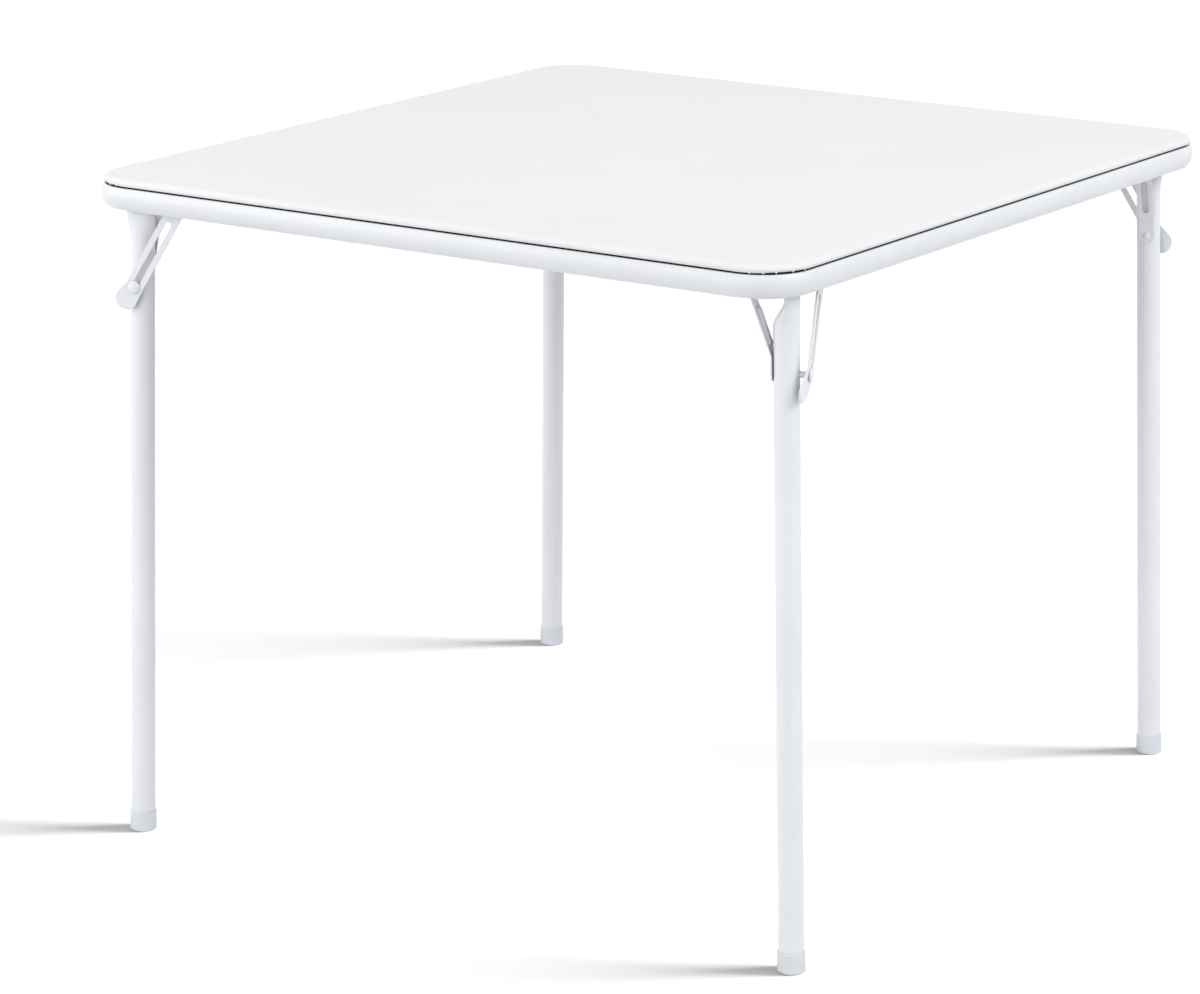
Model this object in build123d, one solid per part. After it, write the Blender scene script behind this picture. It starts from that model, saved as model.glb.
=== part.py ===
from build123d import *
import math
import os

# Folding card table: a padded square top in a rolled steel rim, and four legs that fold into it.
# Frame: origin on the floor under the middle of the top, +Z up, one side of the top along X.
# Every corner holds the same leg assembly, a quarter turn on from the corner before it.

# Overall size
side = 864.0
height = 711.0
corner_radius = 55.0

# Clearances and the overrun of cuts
running_gap = 0.08
side_gap = 0.2
seat_gap = 0.3
fold_gap = 0.5
overrun = 5.0

# Top: board, foam, cover and the dark strip it lies on
board_thickness = 3.2
foam_thickness = 3.1
cover_thickness = 0.6
cover_edge_radius = 3.4
cover_inset = 3.4
wrap_width = 34.0
strip_thickness = 1.8
strip_inset = 4.6
strip_width = 24.0

# Staples that hold the cover under the board
staple_width = 10.0
staple_wire = 0.7
staple_bite = 2.4
staples_per_side = 6
staple_side_inset = 33.0
staple_end_inset = 160.0

# Rim section
rim_depth = 23.5
rim_wall = 1.0
rim_top_inset = 3.0
rim_foot_inset = 5.4
rim_belly_share = 0.40
rim_flange_width = 28.0
rim_shoulder_radius = 1.2
hem_height = 5.5

# Leg tube, its pressed head and the way it stands
leg_diameter = 25.4
leg_wall = 1.2
leg_yaw_angle = 18.0
leg_splay_angle = 1.17
leg_open_angle = 1.40
leg_end_inset = 58.6
leg_side_inset = 31.8
pressed_width = 31.0
pressed_thickness = 14.0
pressed_top = 9.0
pressed_full = 11.0
pressed_start = 40.0
pressed_early_share = 0.16
pressed_half_share = 0.55

# Foot cap
cap_diameter = 27.8
cap_height = 21.5
cap_floor = 3.0
cap_lip_chamfer = 0.8
cap_sole_radius = 2.4
cap_flare = 0.2

# Hinge bracket, rod, washer and sleeve
bracket_wall = 1.6
bracket_lead = 25.0
bracket_tail = 18.0
ear_radius = 8.0
ear_root_width = 26.0
ear_web_rise = 3.0
rod_diameter = 8.0
rod_head_diameter = 13.0
rod_head_height = 1.8
washer_thickness = 2.3
washer_diameter = 15.0
sleeve_diameter = 12.0

# Strut between the leg and the inner end of the rod
strut_wall = 1.5
strut_reach = 31.2
strut_foot_width = 15.0
strut_head_width = 18.5
strut_bend_drop = 68.0
strut_tab_drop = 13.0
groove_radius = 3.6
groove_start = 13.0

# Slotted lock strap, its rivet and the stud that runs in it
lock_radius = 85.5
strap_pivot_run = 48.5
strap_pivot_rise = 1.3
strap_wall = 2.0
strap_width = 19.0
slot_width = 7.0
slot_spare = 14.1
notch_depth = 1.8
paddle_radius = 12.0
paddle_reach = 17.0
paddle_bend_angle = 10.0
stud_diameter = 6.0
stud_head_diameter = 13.5
stud_head_height = 2.1
strap_rivet_diameter = 6.0
strap_rivet_head_diameter = 11.0
strap_rivet_head_height = 1.4
strap_rivet_tail_height = 1.2
strap_rivet_shoulder = 4.3
leg_rivet_head_diameter = 7.8
leg_rivet_head_height = 2.3

# Screws that hold the brackets and the board
screw_diameter = 3.5
screw_head_diameter = 7.5
screw_head_height = 1.5
screw_bite = 2.6
screw_edge = 7.0
frame_screws_per_side = 2

corner_names = ["front_left", "front_right", "back_right", "back_left"]
quarter_turn = 90

# Heights of the layers, from the crown of the cover down to the brackets
foam_top = height - cover_thickness
board_top = foam_top - foam_thickness
board_bottom = board_top - board_thickness
cover_bottom = board_bottom - cover_thickness
rim_top = cover_bottom - strip_thickness
rim_bottom = rim_top - rim_depth
flange_bottom = rim_top - rim_wall
low_base_bottom = flange_bottom - bracket_wall
high_base_bottom = cover_bottom - bracket_wall
screw_top = board_bottom + screw_bite

# Places along the hinge axis, from the leg's own axis: inward is positive, outward negative
leg_radius = leg_diameter / 2
washer_place = -leg_radius - side_gap
ear_inner = washer_place - washer_thickness - side_gap
ear_outer = ear_inner - bracket_wall
shoulder_face = ear_outer - strap_rivet_shoulder
strap_inner = shoulder_face - side_gap
strap_outer = strap_inner - strap_wall
stud_head_face = strap_outer - seat_gap
pressed_inner = pressed_thickness - leg_radius
strut_outer = strut_reach + strut_wall
far_ear_inner = strut_outer + side_gap
far_ear_outer = far_ear_inner + bracket_wall

# The hinge lies where the pressed head clears the bracket
pivot_drop = rim_wall + bracket_wall + fold_gap + pressed_width / 2
pivot_height = rim_top - pivot_drop
hinge_x = leg_end_inset - side / 2
hinge_y = leg_side_inset - side / 2

# The stud in the fold plane, standing and folded, and the strap that leads to it
yaw_turn = math.radians(leg_yaw_angle)
open_turn = math.radians(leg_open_angle)
splay_turn = math.radians(leg_splay_angle)
strap_pivot = Vector(strap_pivot_run, 0, strap_pivot_rise)
stud_standing = Vector(-math.sin(open_turn), 0, -math.cos(open_turn)) * lock_radius
stud_folded = Vector(lock_radius, 0, 0)
strap_line = stud_standing - strap_pivot
strap_span = strap_line.length
folded_span = (stud_folded - strap_pivot).length
strap_turn = math.degrees(math.atan2(-strap_line.Z, strap_line.X))
leg_length = pivot_height / (math.cos(open_turn) * math.cos(splay_turn))

# The strut's slope, from its lower bend to its upper one
slope_reach = strut_reach - leg_radius
slope_rise = strut_bend_drop - strut_tab_drop
slope_turn = math.atan2(slope_reach, slope_rise)
slope_length = math.hypot(slope_reach, slope_rise)

# Where the hinge, the leg and the strap stand in the first corner
hinge_place = Pos(hinge_x, hinge_y, pivot_height) * Rot(Z=leg_yaw_angle) * Rot(X=-leg_splay_angle)
leg_place = hinge_place * Rot(Y=leg_open_angle)
strap_place = hinge_place * Pos(strap_pivot_run, 0, strap_pivot_rise)


def plate(outline, start, end):
    """A flat plate across the hinge axis between two places, its outline drawn in X and Z."""
    return Pos(0, end, 0) * extrude(Plane.XZ * outline, end - start)


def bar(radius, start, end, x=0.0, z=0.0):
    """A round bar along the hinge axis between two places."""
    return Pos(x, (start + end) / 2, z) * Rot(X=quarter_turn) * Cylinder(radius, end - start)


def pin(steps, dome_height=0.0):
    """A pin along the hinge axis from steps of (radius, start, end), domed past its last step."""
    places = []
    for radius, start, end in steps:
        places += [(radius, start), (radius, end)]
    first = places[0][1]
    last_radius, last = places[-1]
    tip = last + math.copysign(dome_height, last - places[-2][1])
    path = Polyline((0, first), *places)
    if dome_height:
        path = path + TangentArc((0, tip), (last_radius, last), tangent=(1, 0))
    else:
        path = path + Line((last_radius, last), (0, last))
    path = path + Line((0, tip), (0, first))
    return revolve(make_face(path), Axis.Y)


def square_slab(inset, bottom, top):
    """A square slab with round corners, set in from the rim's widest line."""
    width = side - 2 * inset
    outline = RectangleRounded(width, width, corner_radius - inset)
    return Pos(0, 0, bottom) * extrude(outline, top - bottom)


def below(level):
    """All the space of the table below one height."""
    return Pos(0, 0, level - height) * Box(2 * side, 2 * side, 2 * height)


def screw(x, y, head_face):
    """One screw, its head under a face and its point in the board."""
    shank_length = screw_top - head_face
    shank = Pos(x, y, head_face + shank_length / 2) * Cylinder(screw_diameter / 2, shank_length)
    head = Pos(x, y, head_face - screw_head_height / 2)
    head = head * Cylinder(screw_head_diameter / 2, screw_head_height)
    top_edge = head.faces().sort_by(Axis.Z)[0].edges()
    return shank + fillet(top_edge, screw_head_height / 2)


def four_turns(solids):
    """Copies of some solids in all four corners."""
    return [Rot(Z=quarter_turn * quarter) * solid for quarter in range(4) for solid in solids]


def bracket_span():
    """The two ends of a bracket's base along X in the first corner."""
    return hinge_x - bracket_lead, hinge_x + strap_pivot_run * math.cos(yaw_turn) + bracket_tail


def long_screws():
    start, end = bracket_span()
    y = hinge_y + ear_inner + screw_edge
    return four_turns([screw(x, y, low_base_bottom) for x in (start + screw_edge, end - screw_edge)])


def short_screws():
    start, end = bracket_span()
    y = hinge_y + far_ear_inner / 2
    return four_turns([screw(x, y, high_base_bottom) for x in (start + screw_edge, end - screw_edge)])


def frame_screws():
    pitch = side / (frame_screws_per_side + 1)
    y = hinge_y + ear_inner + screw_edge
    places = [pitch * (index + 1) - side / 2 for index in range(frame_screws_per_side)]
    return four_turns([screw(x, y, flange_bottom) for x in places])


def top_board(holes):
    return square_slab(cover_inset + cover_thickness, board_bottom, board_top) - holes


def foam_sheet():
    """The foam under the cover, with its top edge rounded."""
    foam = square_slab(cover_inset + cover_thickness, board_top, foam_top)
    top_edges = foam.faces().sort_by(Axis.Z)[-1].edges()
    return fillet(top_edges, cover_edge_radius - cover_thickness)


def vinyl_cover(holes):
    """The cover's crown and sides, and the hem that is wrapped under the board."""
    skin = square_slab(cover_inset, cover_bottom, height)
    skin = fillet(skin.faces().sort_by(Axis.Z)[-1].edges(), cover_edge_radius)
    opening_width = side - 2 * (cover_inset + wrap_width)
    opening = RectangleRounded(opening_width, opening_width, corner_radius - strip_inset - strip_width)
    opening = Pos(0, 0, cover_bottom - overrun) * extrude(opening, cover_thickness + overrun)
    board = square_slab(cover_inset + cover_thickness, board_bottom, board_top)
    return skin - foam_sheet() - board - opening - holes


def edge_strip(holes):
    """The dark strip between the cover and the rim, seen from outside as a thin black line."""
    inner_width = side - 2 * (strip_inset + strip_width)
    hole = RectangleRounded(inner_width, inner_width, corner_radius - strip_inset - strip_width)
    hole = Pos(0, 0, rim_top - overrun) * extrude(hole, strip_thickness + 2 * overrun)
    return square_slab(strip_inset, rim_top, cover_bottom) - hole - holes


def staple():
    """One wire staple: its crown under the cover's hem and its two points in the board."""
    point_length = cover_thickness + staple_bite
    shift = (staple_width - staple_wire) / 2
    point = Pos(0, 0, (point_length + staple_wire) / 2) * Box(staple_wire, staple_wire, point_length)
    body = Box(staple_width, staple_wire, staple_wire) + Pos(shift, 0, 0) * point
    body = body + Pos(-shift, 0, 0) * point
    return Pos(0, 0, cover_bottom - staple_wire / 2) * body


def cover_staples():
    row_length = side - 2 * staple_end_inset
    pitch = row_length / (staples_per_side - 1)
    row = [
        Pos(index * pitch - row_length / 2, staple_side_inset - side / 2, 0) * staple()
        for index in range(staples_per_side)
    ]
    return four_turns(row)


def rim_section():
    """The rolled rim: a flange under the board, a bellied wall and a hem folded back inside."""
    belly = rim_belly_share * rim_depth
    foot = rim_depth - rim_wall
    hem_top = rim_depth - hem_height
    upper_radius = (rim_top_inset**2 + belly**2) / (2 * rim_top_inset)
    lower_radius = (rim_foot_inset**2 + (foot - belly) ** 2) / (2 * rim_foot_inset)

    def wall_inset(curve_radius, depth, offset):
        return curve_radius - math.sqrt((curve_radius - offset) ** 2 - (depth - belly) ** 2)

    flange_end = rim_top_inset + rim_flange_width
    under_flange = wall_inset(upper_radius, rim_wall, rim_wall)
    over_hem = wall_inset(lower_radius, hem_top, rim_wall)
    hem_corner = wall_inset(lower_radius, hem_top, 2 * rim_wall)
    hem_foot = rim_foot_inset + 2 * rim_wall
    outline = [
        TangentArc((0, -belly), (rim_top_inset, 0), tangent=(0, 1)),
        TangentArc((0, -belly), (rim_foot_inset, -foot), tangent=(0, -1)),
        ThreePointArc((rim_foot_inset, -foot), (rim_foot_inset + rim_wall, -rim_depth), (hem_foot, -foot)),
        Polyline((hem_foot, -foot), (hem_corner, -hem_top), (over_hem, -hem_top)),
        TangentArc((rim_wall, -belly), (over_hem, -hem_top), tangent=(0, -1)),
        TangentArc((rim_wall, -belly), (under_flange, -rim_wall), tangent=(0, 1)),
        Polyline((under_flange, -rim_wall), (flange_end, -rim_wall), (flange_end, 0), (rim_top_inset, 0)),
    ]
    face = make_face(Curve() + outline)
    shoulder = face.vertices().sort_by_distance(Vector(rim_top_inset, 0))[0]
    return fillet(shoulder, rim_shoulder_radius)


def rim_frame(holes):
    """The rim bent round the four corners as one closed frame."""
    section = Plane.XZ * rim_section()
    run = side - 2 * corner_radius
    straight = Pos(-side / 2, run / 2, rim_top) * extrude(section, run)
    bend = revolve(section, Axis((corner_radius, 0, 0), (0, 0, 1)), quarter_turn)
    bend = Pos(-side / 2, -run / 2, rim_top) * bend
    return Part() + four_turns([straight, bend]) - holes


def leg_section(drop, flatness, wall):
    """The leg's section at one drop below the hinge, round at flatness 0 and pressed at 1."""
    half_width = leg_radius + flatness * (pressed_width / 2 - leg_radius)
    half_depth = leg_radius + flatness * (pressed_thickness / 2 - leg_radius)
    outline = Ellipse(half_width - wall, half_depth - wall)
    return Pos(0, half_depth - leg_radius, -drop) * outline


def leg_form(wall, top, bottom):
    """The leg's outer or inner form: a round length, the pressed stretch and the flat head."""
    middle = (pressed_start + pressed_full) / 2
    shoulder = (pressed_start + middle) / 2
    round_length = bottom - pressed_start
    stem = Pos(0, 0, -pressed_start - round_length / 2) * Cylinder(leg_radius - wall, round_length)
    stretch = loft([
        leg_section(pressed_start, 0, wall),
        leg_section(shoulder, pressed_early_share, wall),
        leg_section(middle, pressed_half_share, wall),
        leg_section(pressed_full, 1, wall),
    ])
    head = extrude(leg_section(pressed_full, 1, wall), pressed_full + top)
    return stem + stretch + head


def leg_tube():
    """The round leg, its head pressed from the inner side and rounded about the hinge."""
    bottom = leg_length - cap_floor
    tube = leg_form(0, pressed_top, bottom) - leg_form(leg_wall, pressed_top + overrun, bottom + overrun)
    round_end = bar(pressed_width / 2 + side_gap, -leg_diameter, leg_diameter)
    below_hinge = Pos(0, 0, -leg_length / 2) * Box(2 * pressed_width, 2 * leg_diameter, leg_length)
    tube = tube & (round_end + below_hinge)
    tube = tube - bar(rod_diameter / 2 + running_gap, -leg_diameter, leg_diameter)
    return tube - bar(stud_diameter / 2, -leg_diameter, leg_diameter, z=-lock_radius)


def leg_rivet():
    """The rivet through the leg and the strut, with its small domed head on the strut."""
    head_face = leg_radius + strut_wall
    shank = (stud_diameter / 2, -leg_radius, head_face)
    head = (leg_rivet_head_diameter / 2, head_face, head_face + side_gap)
    return Pos(0, 0, -lock_radius) * pin([shank, head], leg_rivet_head_height - side_gap)


def lock_stud():
    """The stud outside the leg, with the domed head that keeps the strap on."""
    shank = (stud_diameter / 2, -leg_radius - seat_gap, stud_head_face)
    head = (stud_head_diameter / 2, stud_head_face, stud_head_face - side_gap)
    return Pos(0, 0, -lock_radius) * pin([shank, head], stud_head_height - side_gap)


def foot_cap():
    """The moulded foot: a socket over the tube's end, cut level where it stands."""
    radius = cap_diameter / 2
    top = cap_height - leg_length
    seat = cap_floor - leg_length
    sole = -cap_floor - leg_length
    outline = Polyline(
        (0, sole),
        (radius + cap_flare, sole),
        (radius + cap_flare, seat),
        (radius, top - cap_lip_chamfer),
        (radius - cap_lip_chamfer, top),
        (leg_radius, top),
        (leg_radius, seat),
        (0, seat),
        (0, sole),
    )
    cap = leg_place * revolve(Plane.XZ * make_face(outline), Axis.Z)
    cap = cap - below(0)
    return fillet(cap.faces().sort_by(Axis.Z)[0].outer_wire().edges(), cap_sole_radius)


def groove_bar(radius):
    """A round-ended bar along the middle of the strut's slope."""
    length = slope_length - 2 * groove_start
    ball = Sphere(radius)
    return Cylinder(radius, length) + Pos(0, 0, length / 2) * ball + Pos(0, 0, -length / 2) * ball


def leg_strut():
    """The pressed strip from the leg's rivet up to the inner end of the hinge rod."""
    mitre = strut_wall * math.tan(slope_turn / 2)
    foot_end = -lock_radius - strut_foot_width
    head_end = strut_head_width
    edge_view = make_face(Polyline(
        (leg_radius, foot_end),
        (leg_radius, -strut_bend_drop),
        (strut_reach, -strut_tab_drop),
        (strut_reach, head_end),
        (strut_outer, head_end),
        (strut_outer, -strut_tab_drop - mitre),
        (leg_radius + strut_wall, -strut_bend_drop - mitre),
        (leg_radius + strut_wall, foot_end),
        (leg_radius, foot_end),
    ))
    strip = extrude(Plane.YZ * edge_view, strut_head_width, both=True)
    foot_half = strut_foot_width / 2
    head_half = strut_head_width / 2
    front_view = make_face(Polyline(
        (-foot_half, -lock_radius),
        (-foot_half, -strut_bend_drop),
        (-head_half, -strut_tab_drop),
        (-head_half, 0),
        (head_half, 0),
        (head_half, -strut_tab_drop),
        (foot_half, -strut_bend_drop),
        (foot_half, -lock_radius),
        (-foot_half, -lock_radius),
    ))
    front_view = front_view + Pos(0, -lock_radius) * Circle(foot_half) + Circle(head_half)
    strip = strip & plate(front_view, 0, strut_outer + overrun)
    slope_middle = Pos(
        0,
        (leg_radius + strut_reach) / 2 + strut_wall,
        -(strut_bend_drop + strut_tab_drop) / 2 - mitre,
    )
    slope_place = slope_middle * Rot(X=-math.degrees(slope_turn))
    leg_side = Pos(0, -strut_head_width, 0) * Box(*[2 * strut_head_width] * 2, 2 * slope_length)
    rib = groove_bar(groove_radius + strut_wall) & leg_side
    strip = strip + slope_place * rib - slope_place * groove_bar(groove_radius)
    strip = strip - bar(rod_diameter / 2 + running_gap, 0, strut_outer + overrun)
    return strip - bar(stud_diameter / 2, 0, strut_outer, z=-lock_radius)


def lock_strap():
    """The slotted strap: a round end at its rivet, the slot, the notch and the bent paddle."""
    half = strap_width / 2
    stud_reach = stud_diameter / 2 + seat_gap
    slot_start = folded_span - stud_reach - slot_spare + slot_width / 2
    slot_end = strap_span + stud_reach - slot_width / 2
    blade = Pos(strap_span / 2, 0) * Rectangle(strap_span, strap_width) + Circle(half)
    paddle = Pos(strap_span + paddle_reach, half - paddle_radius) * Circle(paddle_radius)
    neck = make_hull((Pos(strap_span, 0) * Circle(half) + paddle).edges())
    slot = SlotCenterToCenter(slot_end - slot_start, slot_width)
    slot = Pos((slot_start + slot_end) / 2, 0) * slot
    notch = Pos(strap_span, -notch_depth) * Circle(stud_reach)
    eye = Circle(strap_rivet_diameter / 2 + running_gap)
    outline = blade + neck + paddle - slot - notch - eye
    paddle_bend = math.radians(paddle_bend_angle)
    tip = strap_span + paddle_reach + paddle_radius + overrun
    shift = (tip - strap_span) * math.tan(paddle_bend)
    inner_bend = strap_span - strap_wall * math.tan(paddle_bend / 2)
    edge_view = make_face(Polyline(
        (-half - overrun, strap_outer),
        (strap_span, strap_outer),
        (tip, strap_outer + shift),
        (tip, strap_inner + shift),
        (inner_bend, strap_inner),
        (-half - overrun, strap_inner),
        (-half - overrun, strap_outer),
    ))
    strip = extrude(edge_view, strap_width + paddle_radius, both=True)
    return strip & plate(outline, strap_outer, strap_inner + shift)


def strap_rivet():
    """The shouldered rivet that the strap turns on."""
    radius = strap_rivet_diameter / 2
    head_radius = strap_rivet_head_diameter / 2
    head_face = strap_outer - side_gap
    return pin([
        (head_radius, ear_inner + strap_rivet_tail_height, ear_inner),
        (radius, ear_inner, ear_outer),
        (head_radius, ear_outer, shoulder_face),
        (radius, shoulder_face, head_face),
        (head_radius, head_face, head_face - side_gap),
    ], strap_rivet_head_height - side_gap)


def pivot_rod():
    """The rod through both ears, with a head formed at each end."""
    head_radius = rod_head_diameter / 2
    return pin([
        (head_radius, far_ear_outer + rod_head_height, far_ear_outer),
        (rod_diameter / 2, far_ear_outer, ear_outer),
        (head_radius, ear_outer, ear_outer - side_gap),
    ], rod_head_height - side_gap)


def pivot_washer():
    radius = rod_diameter / 2 + running_gap
    ring = bar(washer_diameter / 2, washer_place - washer_thickness, washer_place)
    return ring - bar(radius, ear_outer, 0)


def spacer_sleeve():
    """The tube on the rod that keeps the strut's head away from the leg."""
    start = pressed_inner + side_gap
    end = strut_reach - side_gap
    return bar(sleeve_diameter / 2, start, end) - bar(rod_diameter / 2 + running_gap, 0, strut_outer)


def ear_lobe(x, z, rise):
    """The tongue of an ear that carries one hole, up to the bracket's base."""
    root = Pos(x, rise - ear_radius / 2) * Rectangle(ear_root_width, ear_radius)
    return make_hull((root + Pos(x, z) * Circle(ear_radius)).edges())


def hinge_bracket(holes):
    """The pressed bracket: a base stepped round the flange, a long outer ear and an inner ear."""
    start, end = bracket_span()
    lean = pivot_drop * math.sin(splay_turn)
    turned_root = ear_root_width / 2 * math.sin(yaw_turn)
    base_start = hinge_y + ear_outer * math.cos(yaw_turn) - turned_root + lean
    base_end = hinge_y + far_ear_outer * math.cos(yaw_turn) + turned_root + lean
    base_width = base_end - base_start
    step = rim_top_inset + rim_flange_width + side_gap
    inside_flange = square_slab(step, rim_bottom, height)
    inside_riser = square_slab(step + bracket_wall, rim_bottom, height)

    def base(bottom, top):
        centre = Pos((start + end) / 2, base_start + base_width / 2, (bottom + top) / 2)
        return centre * Box(end - start, base_width, top - bottom)

    body = base(low_base_bottom, flange_bottom) - inside_riser
    body = body + (base(low_base_bottom, cover_bottom) & inside_flange) - inside_riser
    body = body + (base(high_base_bottom, cover_bottom) & inside_flange)
    web_top = cover_bottom - pivot_height + overrun
    web = Rectangle(strap_pivot_run + ear_root_width, web_top - ear_web_rise)
    web = Pos(strap_pivot_run / 2, (web_top + ear_web_rise) / 2) * web
    outer_ear = ear_lobe(0, 0, web_top) + ear_lobe(strap_pivot_run, strap_pivot_rise, web_top) + web
    far_ear = ear_lobe(0, 0, web_top)
    outer = hinge_place * plate(outer_ear, ear_outer, ear_inner)
    far = hinge_place * plate(far_ear, far_ear_inner, far_ear_outer)
    body = body + (outer & below(flange_bottom)) + (outer & below(cover_bottom) & inside_flange)
    body = body + (far & below(cover_bottom))
    body = body - hinge_place * bar(rod_diameter / 2, ear_outer - overrun, far_ear_outer + overrun)
    eye = bar(strap_rivet_diameter / 2, ear_outer - overrun, 0)
    return body - strap_place * eye - holes


def top_parts():
    """The pieces of the top, the rim and their fasteners, by name."""
    long_group = long_screws()
    short_group = short_screws()
    frame_group = frame_screws()
    edge_group = long_group + frame_group
    return {
        "top_board": top_board(edge_group + short_group),
        "foam_sheet": foam_sheet(),
        "vinyl_cover": vinyl_cover(edge_group + short_group),
        "edge_strip": edge_strip(edge_group),
        "rim_frame": rim_frame(edge_group),
        "cover_staples": Compound(children=cover_staples()),
        "long_bracket_screws": Compound(children=long_group),
        "short_bracket_screws": Compound(children=short_group),
        "frame_screws": Compound(children=frame_group),
    }


def corner_parts():
    """The pieces of the first corner, by name and in their places."""
    own_screws = long_screws()[:2] + short_screws()[:2]
    return {
        "hinge_bracket": hinge_bracket(own_screws),
        "pivot_rod": hinge_place * pivot_rod(),
        "strap_rivet": strap_place * strap_rivet(),
        "leg_tube": leg_place * leg_tube(),
        "leg_strut": leg_place * leg_strut(),
        "leg_rivet": leg_place * leg_rivet(),
        "foot_cap": foot_cap(),
        "pivot_washer": leg_place * pivot_washer(),
        "spacer_sleeve": leg_place * spacer_sleeve(),
        "lock_strap": strap_place * Rot(Y=strap_turn) * lock_strap(),
        "lock_stud": leg_place * lock_stud(),
    }


def main():
    os.makedirs("parts", exist_ok=True)
    for name, shape in top_parts().items():
        export_step(shape, os.path.join("parts", name + ".step"))
    first_corner = corner_parts()
    for quarter, corner in enumerate(corner_names):
        for name, shape in first_corner.items():
            turned = Rot(Z=quarter_turn * quarter) * shape
            export_step(turned, os.path.join("parts", f"{corner}_{name}.step"))


main()
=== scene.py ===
import math
from collections import namedtuple

import bmesh
import bpy
from bpy.props import FloatProperty, FloatVectorProperty, PointerProperty
from mathutils import Matrix, Vector, noise


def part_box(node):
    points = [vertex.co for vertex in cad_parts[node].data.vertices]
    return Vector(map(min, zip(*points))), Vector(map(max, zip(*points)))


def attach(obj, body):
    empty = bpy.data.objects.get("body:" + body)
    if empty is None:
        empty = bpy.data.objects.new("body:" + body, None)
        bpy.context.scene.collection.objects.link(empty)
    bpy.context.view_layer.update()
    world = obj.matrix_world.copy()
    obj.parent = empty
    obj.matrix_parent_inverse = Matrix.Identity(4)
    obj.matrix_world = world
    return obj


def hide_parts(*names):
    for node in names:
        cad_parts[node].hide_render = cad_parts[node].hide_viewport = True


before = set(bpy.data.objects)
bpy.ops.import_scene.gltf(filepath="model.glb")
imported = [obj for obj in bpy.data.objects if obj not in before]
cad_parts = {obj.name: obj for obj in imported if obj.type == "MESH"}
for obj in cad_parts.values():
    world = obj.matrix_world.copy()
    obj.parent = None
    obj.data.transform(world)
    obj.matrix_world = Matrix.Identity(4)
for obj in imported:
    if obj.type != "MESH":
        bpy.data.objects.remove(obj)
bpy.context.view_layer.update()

bl_info = {
    "name": "Folding Card Table",
    "version": (1, 0, 0),
    "blender": (4, 5, 0),
    "location": "View3D > Sidebar > Card Table",
    "description": "Builds the cover, finishes and stage of a folding card table",
    "category": "Object",
}

CORNERS = ("front_left", "front_right", "back_right", "back_left")
QUARTER = math.pi / 2
MM = 0.001

# Sizes and levels of the solids that the cover, the foam and the edging lie on
SIDE = 864 * MM
CORNER_RADIUS = 55 * MM
COVER_INSET = 3.4 * MM
COVER_SKIN = 0.6 * MM
WRAP_WIDTH = 34 * MM
STRIP_INSET = 4.6 * MM
STRIP_WIDTH = 24 * MM
BOARD_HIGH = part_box("top_board")[1].z
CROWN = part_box("vinyl_cover")[1].z
HEM_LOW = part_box("vinyl_cover")[0].z
STRIP_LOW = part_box("edge_strip")[0].z
BEND_LENGTH = CORNER_RADIUS * QUARTER

# How far the padded side stands out, how far it draws in again towards its lower edge, and from what height
BULGE = 0.8 * MM
TUCK = 1.3 * MM
TUCK_HEIGHT = 3.4 * MM

# The padding's roll at the edge: its share of the cover's height, and how fully it curves inside and outside
ROLL_SHARE = 0.78
ROLL_INSIDE = 2.6
ROLL_OUTSIDE = 2.2

# Rows of the cover from the hem inward to the middle, as shares of the hem, as shares of the roll, and as
# depths in millimetres
HEM_ROWS = (1.0, 0.7, 0.4, 0.15, 0.05)
ROLL_ROWS = (0.0, 0.01, 0.03, 0.07, 0.13, 0.2, 0.3, 0.42, 0.56, 0.72, 0.88, 1.0)
CROWN_ROWS = (14, 22, 34, 50, 75, 110, 150, 200, 260, 330, 390)

# Rows of the cover's lower edge: millimetres in from the side and up from the hem, then how far the row is
# drawn in and up between folds, and how far a fold stands out and hangs down there
LOWER_ROWS = (
    (0.5, 0.0, 0.7, 0.75, 0.2, 0.1),
    (0.0, 0.03, 0.0, 0.72, 0.3, 1.0),
    (0.0, 0.4, 0.05, 0.9, 0.38, 0.65),
    (0.0, 0.9, 0.05, 0.6, 0.25, 0.3),
    (0.0, 1.4, 0.0, 0.35, 0.2, 0.1),
)

# Slow rise and fall of the stretched top, and how many swells there are to a metre
SWELL_HEIGHT = 0.09 * MM
SWELLS = 9

# Where the vinyl is pinched into folds at each corner, as shares of the corner's bend
CORNER_FOLDS = (
    (0.13, 0.31, 0.55, 0.69, 0.88),
    (0.16, 0.34, 0.48, 0.70, 0.86),
    (0.11, 0.29, 0.53, 0.76, 0.90),
    (0.195, 0.36, 0.515, 0.73, 0.91),
)

# A fold's half width and the reach of its closer points, in gather widths, and the margin that they keep
FOLD_HALF = 0.6
FOLD_REACH = 1.2
FOLD_MARGIN = 1.1

# The edge is drawn up between the folds: from which share of a corner's bend, over which share it rises,
# and over which share at the end of the bend it comes down again
DRAWN_FROM = 0.3
DRAWN_RISE = 0.2
DRAWN_FALL = 0.12

# Points along one side, round one corner, on either side of a fold, and along and round the foam
STRAIGHT_STEPS = 40
CORNER_STEPS = 36
FOLD_STEPS = 4
FOAM_STEPS = 24

# Painted shade in the coat's narrow recesses: how near a neighbour must come for the colour to darken,
# between which shares of open view the painted shade fades, and what share of the colour is left in the
# deepest recess
PAINTED_SHADE_REACH = 11 * MM
PAINTED_SHADE_CLOSED = 0.25
PAINTED_SHADE_OPEN = 0.95
PAINTED_SHADE_DARKEST = 0.6

# How light the coat is on the rim and on the legs, against the coat's colour: lit and shaded copies of the
# one coat, a painted shade on the rim and a painted light on the legs
RIM_PAINTED_SHADE = 0.965
LEG_PAINTED_LIGHT = 1.01

# Colours that are seen only from below or not at all
SPACER_COLOUR = (0.74, 0.76, 0.77)
ZINC_COLOURS = ((0.50, 0.51, 0.53), (0.68, 0.69, 0.70))
FOAM_COLOURS = ((0.55, 0.5, 0.36), (0.78, 0.74, 0.6))

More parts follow.
